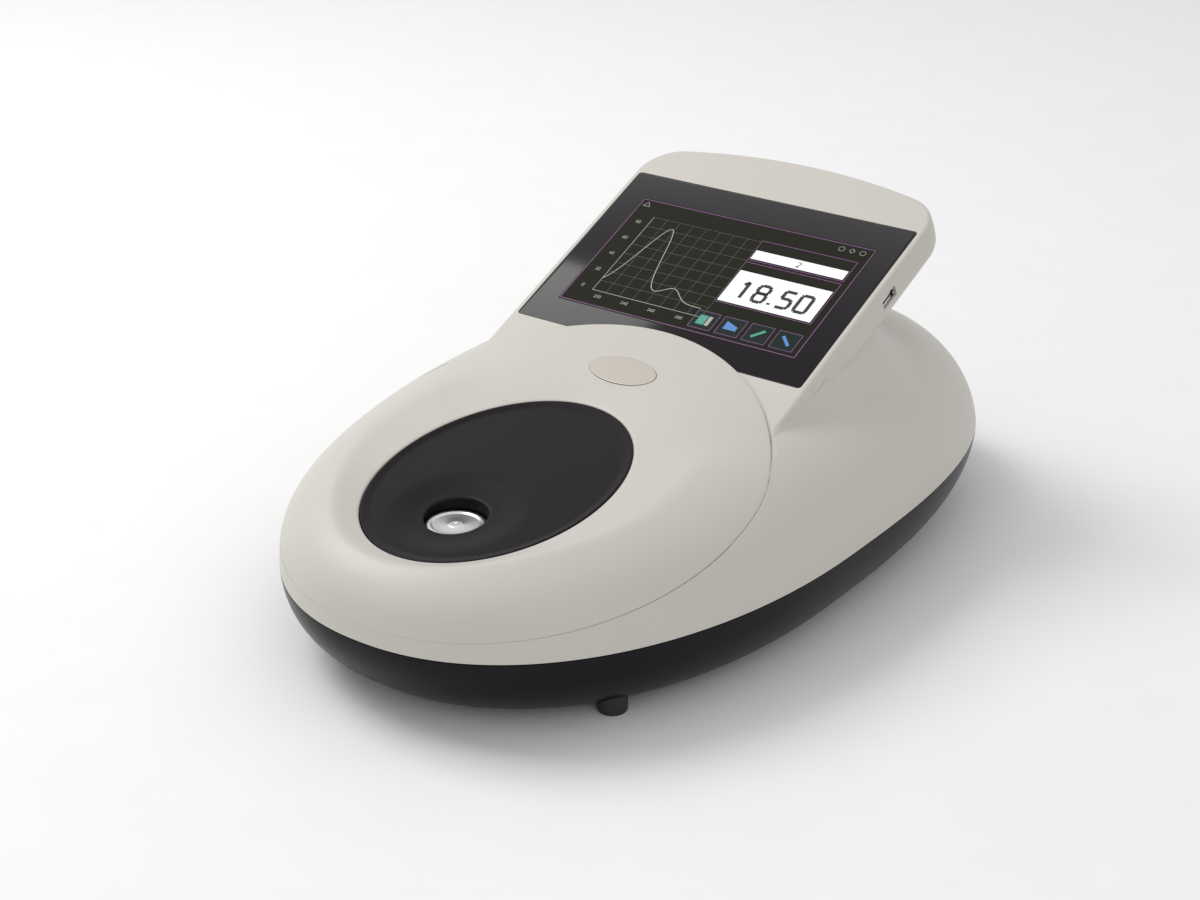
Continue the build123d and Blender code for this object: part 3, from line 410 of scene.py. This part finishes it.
def head_outline(inset, bulge):
    """Dense outline of the head: straight sides, round corners and a bowed brow."""
    half = 95.0 - inset + bulge
    top = 161.0 - inset
    radius = 25.0 - 0.9 * inset
    bow = (half ** 2 + 12.9 ** 2) / (2 * 12.9)
    corner_x = half - radius
    corner_up = top - bow + ((bow - radius) ** 2 - corner_x ** 2) ** 0.5
    lean = np.arctan2(corner_x, corner_up - (top - bow))
    foot = -50.0 + inset
    turn = np.linspace(0, pi / 2 - lean, 80)
    sweep = np.linspace(lean, -lean, 400)
    side = [(half, foot), (half, corner_up)]
    right = np.stack([corner_x + radius * np.cos(turn), corner_up + radius * np.sin(turn)], -1)
    brow = np.stack([bow * np.sin(sweep), top - bow + bow * np.cos(sweep)], -1)
    left = right[::-1] * [-1, 1]
    return np.concatenate([side, right, brow, left, [(-half, corner_up), (-half, foot)]])


def glass_outline(grow, radius=2.0, steps=8):
    corners = []
    for x, up, begin in ((91.2, 126.8, 0), (-91.2, 126.8, 90), (-91.2, 0, 180), (91.2, 0, 270)):
        middle = np.array([x - np.sign(x) * radius, up - np.sign(up - 1) * radius])
        for a in np.radians(np.linspace(begin, begin + 90, steps)):
            corners.append(middle + (radius + grow) * np.array([np.cos(a), np.sin(a)]))
    return np.array(corners)


def at_turns(outline, turns):
    """Points of a closed outline in given directions from the glass's middle."""
    closed = np.concatenate([outline, outline[:1]])
    dense = np.concatenate([np.linspace(a, b, 60, endpoint=False) for a, b in zip(closed[:-1], closed[1:])])
    dense = dense - [0, glass_centre_up]
    direction = np.arctan2(dense[:, 1], dense[:, 0])
    order = np.argsort(direction)
    reach = np.interp(turns, direction[order], np.hypot(*dense[order].T), period=2 * pi)
    return np.stack([reach * np.cos(turns), glass_centre_up + reach * np.sin(turns)], -1)


pocket_edge = glass_outline(0.3)
marks = [pocket_edge, head_outline(0, 0)[[0, 1, -2, -1]]]
turns = [np.arctan2(edge[:, 1] - glass_centre_up, edge[:, 0]) for edge in marks]
turns = np.unique(np.round(np.concatenate([*turns, np.linspace(-pi, pi, 360, endpoint=False)]), 5))
profile = [(2.4 - 2.4 * sin(a), -2.4 + 2.4 * cos(a)) for a in np.linspace(0, pi / 2, 9)]
profile += [(0.0, -5.0), (0.0, -8.0), (0.0, -11.0), (0.0, -14.0)]
profile += [(9.5 - 9.5 * cos(a), -14.5 - 9.5 * sin(a)) for a in np.linspace(0.05, pi / 2, 14)]
pocket = at_turns(pocket_edge, turns)
head_rows = [on_face(pocket[:, 0], pocket[:, 1], level) for level in (-1.9, -0.2, 0.0)]
for inset, out in profile:
    bulge = 0.9 * max(0.0, 1 - ((out + 11.0) / 9.0) ** 2)
    edge = at_turns(head_outline(inset, bulge), turns)
    head_rows.append(on_face(edge[:, 0], edge[:, 1], out))
head_faces = strips(len(head_rows), len(turns)) + [cap(0, len(turns)), cap(len(head_rows) - 1, len(turns))]
head = mesh_piece("shell_head", np.concatenate(head_rows), head_faces, shell_white, sharp=35)
port_points = [on_face(x, 84.0 + up, -9.0 + out) for x in (80.0, 100.0) for up in (-6.9, 6.9)
               for out in (-3.15, 3.15)]
carve(head, [mesh_piece("port_cut", port_points, block_faces, shell_white)], sharp=35)
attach(head, "case")

neck_plan = []
for x, y, begin in ((51, 68, 0), (-51, 68, 90), (-51, 28, 180), (51, 28, 270)):
    for a in np.radians(np.linspace(begin, begin + 90, 20)):
        neck_plan.append((x + 38 * np.cos(a), y + 38 * np.sin(a)))
neck_plan = np.array(neck_plan)
neck_rows = [np.stack([neck_plan[:, 0], neck_plan[:, 1], z], -1)
             for z in (np.full(len(neck_plan), 92.0), face_height(neck_plan[:, 1]) - 20.0)]
neck = mesh_piece("shell_neck", np.concatenate(neck_rows), strips(2, len(neck_plan)), shell_white)
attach(neck, "case")

# Front cover: an oval lid moulded in the same white, clipped over the optics.
# Its flanks run flush with the dome, it is dished round the deck, and its tail laps onto the head's face.
def cover_skin(share):
    """Row of the cover's skin from its edge, share 0, to the deck's edge, share 1."""
    edge_x = cover_half * cover_scale * np.cos(cover_turn)
    edge_y = cover_mid + cover_reach * cover_scale * np.sin(cover_turn)
    along = 77.55 * np.sin(cover_turn)
    deck_x = 60.55 * np.cos(cover_turn)
    deck_y = -122.1 + along * cos(radians(8.7))
    deck_z = 88.1 + along * sin(radians(8.7))
    x = edge_x + (deck_x - edge_x) * share
    y = edge_y + (deck_y - edge_y) * share
    lip = face_height(edge_y) + 2.0
    ramp = lip + (deck_z - lip) * share + 1.5 * sin(pi * share)
    slope = 0.10 + 0.35 * soft_step(-np.sin(cover_turn))
    dish = 88.1 + (y + 122.1) * tan(radians(8.7)) + slope * np.hypot(x - deck_x, y - deck_y)
    dome = dome_height(x, y)
    flank = np.minimum(dome, dish) - 0.8 * np.log1p(np.exp(-np.abs(dome - dish) / 0.8))
    rear = soft_step((np.sin(cover_turn) - 0.35) / 0.4)
    return x, y, flank + (ramp - flank) * rear


x, y, z = cover_skin(0.0)
hem = np.minimum(seat_height(y) + 0.4, z - 0.1)
cover_rows = [np.stack([x * 0.985, -95 + (y + 95) * 0.985, hem - 1.0], -1), np.stack([x, y, hem], -1)]
for share in [0.003, 0.008, 0.016, 0.03, *np.linspace(0.05, 0.975, 70), 0.985, 0.993, 1.0]:
    x, y, z = cover_skin(share)
    drop = 0.35 * max(0.0, 1 - share / 0.016) ** 2 + 0.6 * max(0.0, (share - 0.975) / 0.025) ** 2
    cover_rows.append(np.stack([x, y, z - drop], -1))
x, y, z = cover_skin(1.0)
cover_rows += [np.stack([x, y, z - depth], -1) for depth in (1.4, 4.5)]
cover = mesh_piece("cover_moulding", np.concatenate(cover_rows), strips(len(cover_rows), cover_columns),
                   shell_white, sharp=60)
thicken(cover, 0.0022)
badge_low, badge_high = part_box("badge_plate")
badge_middle = np.array([(a + b) * 500 for a, b in zip(badge_low, badge_high)])
badge_tilt = radians(18.5)
badge_turn = np.arange(96) * 2 * pi / 96
badge_rows = [badge_middle + 20.5 * np.cos(badge_turn)[:, None] * [1, 0, 0]
              + 10.5 * np.sin(badge_turn)[:, None] * [0, cos(badge_tilt), sin(badge_tilt)]
              + level * np.array([0, -sin(badge_tilt), cos(badge_tilt)]) for level in (-0.6, 8.0)]
badge_cut = mesh_piece("badge_cut", np.concatenate(badge_rows), strips(2, 96) + [cap(0, 96), cap(1, 96)],
                       shell_white)
carve(cover, [badge_cut], sharp=60)
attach(cover, "case")
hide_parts("front_cover")

# Deck: a satin black tray in the cover's mouth, dished, with a soft bowl down to the round well.
# It is one moulding that hangs on a ledge under the cover's edge.
deck_black = finish("deck_black", (0.006, 0.004, 0.005), 0.42, grain=0.05, shine=0.1)
deck_turn = np.arange(360) * 2 * pi / 360
deck_up = np.array([0, cos(radians(8.7)), sin(radians(8.7))])
deck_out = np.array([0, -sin(radians(8.7)), cos(radians(8.7))])
well_along = (-154.6 + 122.1) / cos(radians(8.7))
deck_rows = []
for t in (0.0, 0.004, 0.01, 0.02, 0.035, *np.linspace(0.05, 0.97, 66), 0.985, 1.0):
    x = 60.25 * np.cos(deck_turn) * (1 - t) + 16.1 * np.cos(deck_turn) * t
    along = 77.25 * np.sin(deck_turn) * (1 - t) + (well_along + 16.1 * np.sin(deck_turn)) * t
    size = np.hypot(x / 60.25, along / 77.25)
    from_well = np.hypot(x, along - well_along)
    out = -1.0 * soft_step((1 - size) / 0.08) - 2.2 * soft_step((37.0 - from_well) / 20.0)
    out = out - 0.4 * np.clip((size - 0.992) / 0.008, 0, 1) ** 2
    out = out - 0.3 * max(0.0, (t - 0.97) / 0.03) ** 2
    deck_rows.append(np.array([0, -122.1, 88.1]) + x[:, None] * [1, 0, 0] + along[:, None] * deck_up
                     + out[:, None] * deck_out)
well_top = deck_rows[-1]
deck_rows.insert(0, deck_rows[0] - 4.0 * deck_out)
for radius, depth in ((15.9, 0.5), (15.8, 1.2), (15.8, 6.0)):
    deck_rows.append(np.stack([radius * np.cos(deck_turn), -154.6 + radius * np.sin(deck_turn),
                               well_top[:, 2] - depth], -1))
deck_rows.append(np.stack([15.8 * np.cos(deck_turn), -154.6 + 15.8 * np.sin(deck_turn),
                           np.full(len(deck_turn), 70.0)], -1))
deck = mesh_piece("deck_tray", np.concatenate(deck_rows), strips(len(deck_rows), 360), deck_black, sharp=50)
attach(deck, "case")
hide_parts("deck_insert")

# Sample disc: turned steel with a raised outer ring and a low pedestal in the middle.
# The small bright target on the pedestal is the polished end of the quartz window.
disc_steel = finish("turned_steel", (0.60, 0.61, 0.62), 0.30, metallic=1.0, grain=0.08, grain_size=0.0006)
window_bright = finish("window_polish", (0.88, 0.89, 0.90), 0.12, metallic=1.0)
disc_turn = np.arange(96) * 2 * pi / 96


def turned(name, outline, material):
    """Piece turned about the well's axis from radius and height pairs."""
    rows = [np.stack([r * np.cos(disc_turn), -154.6 + r * np.sin(disc_turn), np.full(96, z)], -1)
            for r, z in outline]
    return mesh_piece(name, np.concatenate(rows), strips(len(rows), 96), material, sharp=35)


disc = turned("disc_turned", [
    (14.4, 71.4), (14.4, 75.6), (14.2, 75.85), (13.8, 76.0), (12.6, 76.0), (12.1, 75.8), (11.7, 75.35),
    (11.2, 75.2), (4.4, 75.2), (4.0, 75.3), (3.6, 75.5), (3.0, 75.6), (1.3, 75.6)], disc_steel)
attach(disc, "case")
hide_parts("port_disc")
window = turned("window_turned", [(1.15, 75.0), (1.15, 76.1), (0.95, 76.35), (0.5, 76.46), (0.02, 76.48)],
                window_bright)
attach(window, "case")
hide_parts("port_window")

# Display glass: black-printed cover glass, glued flush into the head's face.
# The lit screen behind it shows as a very dark field with thin lines and a few bright areas.
glass_black = finish("glass_black", (0.006, 0.004, 0.006), 0.12, shine=0.2)
glass_rows = []
for grow, out in ((0.0, -1.7), (0.0, -0.45), (-0.1, -0.25), (-0.3, -0.15)):
    edge = glass_outline(grow)
    glass_rows.append(on_face(edge[:, 0], edge[:, 1], out))
glass_count = len(glass_rows[0])
glass_faces = strips(4, glass_count) + [cap(0, glass_count), cap(3, glass_count)]
glass = mesh_piece("glass_sheet", np.concatenate(glass_rows), glass_faces, glass_black, sharp=30)
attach(glass, "case")
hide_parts("display_glass")

screen_inks = {
    "field": finish("screen_field", (0.004, 0.004, 0.002), 0.12, glow=(0.012, 0.012, 0.004),
                    glow_strength=0.5, shine=0.12),
    "tile": finish("screen_tile", (0.004, 0.01, 0.008), 0.3, glow=(0.006, 0.010, 0.008), glow_strength=0.8,
                   shine=0.1),
    "violet": finish("screen_violet", (0.05, 0.02, 0.05), 0.3, glow=(0.18, 0.05, 0.20), glow_strength=0.8),
    "grid": finish("screen_grid", (0.02, 0.02, 0.02), 0.3, glow=(0.06, 0.06, 0.05), glow_strength=0.8),
    "line": finish("screen_line", (0.1, 0.1, 0.1), 0.3, glow=(0.34, 0.35, 0.30), glow_strength=0.8),
    "teal": finish("screen_teal", (0.02, 0.1, 0.08), 0.3, glow=(0.03, 0.28, 0.20), glow_strength=0.8),
    "blue": finish("screen_blue", (0.02, 0.05, 0.12), 0.3, glow=(0.05, 0.22, 0.55), glow_strength=0.8),
    "white": finish("screen_white", (0.5, 0.5, 0.5), 0.3, glow=(0.62, 0.63, 0.61), glow_strength=0.8),
    "black": finish("screen_black", (0.006, 0.006, 0.006), 0.25),
}
screen_order = list(screen_inks)
drawn = {ink: ([], []) for ink in screen_inks}


def patch(ink, corners):
    """Flat film of one ink on the glass, each ink a little above the one before."""
    points, faces = drawn[ink]
    begin = len(points)
    corners = np.array(corners, float)
    points.extend(on_face(corners[:, 0], corners[:, 1], -0.12 + 0.03 * screen_order.index(ink)))
    faces.append(tuple(range(begin, begin + len(corners))))


def area(ink, x0, up0, x1, up1):
    patch(ink, [(x0, up0), (x1, up0), (x1, up1), (x0, up1)])


def stroke(ink, path, width):
    path = np.array(path, float)
    for start, end in zip(path[:-1], path[1:]):
        run = end - start
        side = np.array([-run[1], run[0]]) / np.hypot(*run) * width / 2
        patch(ink, [start + side, start - side, end - side, end + side])


def border(ink, x0, up0, x1, up1, width):
    stroke(ink, [(x0, up0), (x1, up0), (x1, up1), (x0, up1), (x0, up0)], width)


digit_paths = {
    "0": [(0.1, 0), (0.9, 0), (1, 0.15), (1, 1.65), (0.9, 1.8), (0.1, 1.8), (0, 1.65), (0, 0.15), (0.1, 0)],
    "1": [(0.2, 1.45), (0.55, 1.8), (0.55, 0)],
    "2": [(0, 1.6), (0.2, 1.8), (0.8, 1.8), (1, 1.6), (1, 1.15), (0, 0), (1, 0)],
    "4": [(0.75, 0), (0.75, 1.8), (0, 0.55), (1, 0.55)],
    "5": [(1, 1.8), (0.1, 1.8), (0.05, 1), (0.8, 1), (1, 0.8), (1, 0.2), (0.8, 0), (0, 0)],
    "6": [(0.9, 1.8), (0.2, 1.5), (0, 0.9), (0, 0.2), (0.2, 0), (0.8, 0), (1, 0.2), (1, 0.8), (0.8, 1), (0, 1)],
    "8": [(0.2, 0), (0.8, 0), (1, 0.2), (1, 0.8), (0.8, 0.95), (1, 1.1), (1, 1.6), (0.8, 1.8), (0.2, 1.8),
          (0, 1.6), (0, 1.1), (0.2, 0.95), (0.8, 0.95), (0.2, 0.95), (0, 0.8), (0, 0.2), (0.2, 0)],
    ".": [(0, 0), (0, 0.2)],
}


def number(ink, text, x, up, size, width):
    for letter in text:
        stroke(ink, [(x + px * size / 2, up + pu * size / 2) for px, pu in digit_paths[letter]], width)
        x += size * (0.32 if letter == "." else 0.78)


area("field", -75.6, 18.0, 77.5, 107.5)
border("violet", -74.8, 19.0, 76.7, 106.5, 0.5)
for step in range(9):
    stroke("grid", [(-60 + step * 9, 30), (-60 + step * 9, 94)], 0.25)
    stroke("grid", [(-60, 30 + step * 8), (12, 30 + step * 8)], 0.25)
stroke("line", [(-60, 94), (-60, 30), (12, 30)], 0.35)
stroke("line", [(-60 + 68 * t, 36 + 52 * np.exp(-((t - 0.24) / 0.15) ** 2) + 9 * np.exp(-((t - 0.66) / 0.12) ** 2))
                for t in np.linspace(0, 1, 60)], 0.5)
for step, text in enumerate(("0", "20", "40", "60", "80")):
    number("line", text, -68.5, 31 + step * 14, 2.2, 0.3)
for step, text in enumerate(("220", "240", "260", "280")):
    number("line", text, -56 + step * 18, 25, 2.0, 0.3)
area("white", 13, 80, 71, 87)
area("white", 13, 45, 71, 70)
border("violet", 12, 79, 72, 95, 0.4)
border("violet", 12, 44, 72, 77, 0.4)
number("black", "2", 41, 81.5, 4.0, 0.6)
number("black", "18.50", 20, 50, 14.0, 2.2)
for icon in range(4):
    left = 8 + icon * 17
    area("tile", left, 22, left + 14, 35)
    border("violet", left, 22, left + 14, 35, 0.35)
area("teal", 11, 25, 16, 32)
area("line", 16.6, 25, 19, 32)
patch("blue", [(28, 26), (36, 26), (36, 29), (28, 32)])
stroke("teal", [(46, 25.5), (52, 31.5)], 1.8)
stroke("blue", [(63, 31.5), (69, 25.5)], 1.8)
for icon, sides in enumerate((18, 4, 18)):
    stroke("line", [(58 + icon * 6.5 + 1.7 * cos(a), 102.4 + 1.7 * sin(a))
                    for a in np.linspace(0, 2 * pi, sides + 1)], 0.3)
stroke("line", [(-72.5, 101.2), (-70.3, 104.6), (-68.1, 101.2), (-72.5, 101.2)], 0.35)
for ink, (points, faces) in drawn.items():
    film = mesh_piece("screen_" + ink, points, faces, screen_inks[ink])
    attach(film, "case")

# Pieces that keep their own solids: badge, feet, screws, sockets, rear panel and all inner parts.
# Each gets the finish of its real material.
slot_finishes = {
    "badge": finish("badge_champagne", (0.40, 0.37, 0.33), 0.45, metallic=1.0, grain=0.12),
    "screw": finish("zinc_steel", (0.62, 0.62, 0.63), 0.28, metallic=1.0, grain=0.05),
    "socket": finish("socket_nickel", (0.72, 0.72, 0.72), 0.2, metallic=1.0),
    "foot": finish("foot_rubber", (0.014, 0.014, 0.015), 0.62, grain=0.2),
    "seal": finish("seal_rubber", (0.012, 0.012, 0.012), 0.55, grain=0.1),
    "panel": finish("panel_black", (0.02, 0.02, 0.022), 0.5, grain=0.12),
    "switch": finish("switch_black", (0.016, 0.016, 0.017), 0.3, coat=0.2),
    "brass": finish("turned_brass", (0.72, 0.52, 0.22), 0.3, metallic=1.0),
    "board": finish("board_green", (0.02, 0.12, 0.05), 0.45),
    "plate": finish("milled_aluminium", (0.70, 0.71, 0.72), 0.35, metallic=1.0, grain=0.08),
    "zinc": finish("zinc_sheet", (0.62, 0.63, 0.62), 0.4, metallic=1.0, grain=0.1),
    "mirror": finish("ruled_mirror", (0.85, 0.86, 0.88), 0.08, metallic=1.0),
    "bulb": finish("bulb_glass", (0.80, 0.82, 0.84), 0.1),
    "header": finish("header_nylon", (0.70, 0.68, 0.60), 0.5),
    "ribbon": finish("flat_cable", (0.50, 0.35, 0.15), 0.45),
}
inner_black = finish("anodised_black", (0.03, 0.03, 0.034), 0.42, grain=0.08)
for row in frame["record"]["subparts"]:
    for holder in frame["nodes"][row["node"]].material_slots:
        holder.material = slot_finishes.get(row["material_slot"], inner_black)

# Floor, backdrop and light: white paper under two soft boxes and an even sky.
paper = finish("floor_paper", (0.88, 0.88, 0.88), 0.9)
floor = mesh_piece("floor", [(-6000, -6000, -0.1), (6000, -6000, -0.1), (6000, 6000, -0.1), (-6000, 6000, -0.1)],
                   [(0, 1, 2, 3)], paper)
sky = bpy.data.worlds.new("studio")
bpy.context.scene.world = sky
sky.use_nodes = True
Sock.tree = sky.node_tree
soft = sky.node_tree.nodes["Background"]
soft.inputs["Color"].default_value = (1, 1, 1, 1)
soft.inputs["Strength"].default_value = 0.68
rays = Sock.node("ShaderNodeLightPath").socket.node
seen = (Sock(rays.outputs["Is Camera Ray"]) + Sock(rays.outputs["Is Glossy Ray"])
        + Sock(rays.outputs["Is Transmission Ray"]))
white = Sock.node("ShaderNodeBackground", {"Color": (1, 1, 1, 1), "Strength": 1.0})
shown = Sock.node("ShaderNodeMixShader", {0: seen, 1: Sock(soft.outputs[0]), 2: white})
sky.node_tree.links.new(shown.socket, sky.node_tree.nodes["World Output"].inputs["Surface"])
for name, place, size, power in (("key", (-1.3, -0.3, 1.7), 1.1, 24), ("fill", (1.6, -1.0, 1.0), 1.2, 3)):
    light = bpy.data.lights.new(name, "AREA")
    light.size = size
    light.energy = power
    box = bpy.data.objects.new(name, light)
    box.location = place
    box.rotation_euler = (Vector((0, 0, 0.06)) - Vector(place)).to_track_quat("-Z", "Y").to_euler()
    bpy.context.scene.collection.objects.link(box)

# Camera: the photograph's view, from the front right and above.
lens = bpy.data.cameras.new("camera")
lens.lens = 65.98
lens.sensor_width = 36.0
camera = bpy.data.objects.new("camera", lens)
camera.location = (0.6213, -0.8772, 0.5445)
aim = Vector((-0.0369, 0.0118, 0.044)) - camera.location
camera.rotation_euler = aim.to_track_quat("-Z", "Y").to_euler()
bpy.context.scene.collection.objects.link(camera)
bpy.context.scene.camera = camera
bpy.context.scene.view_settings.view_transform = "Standard"
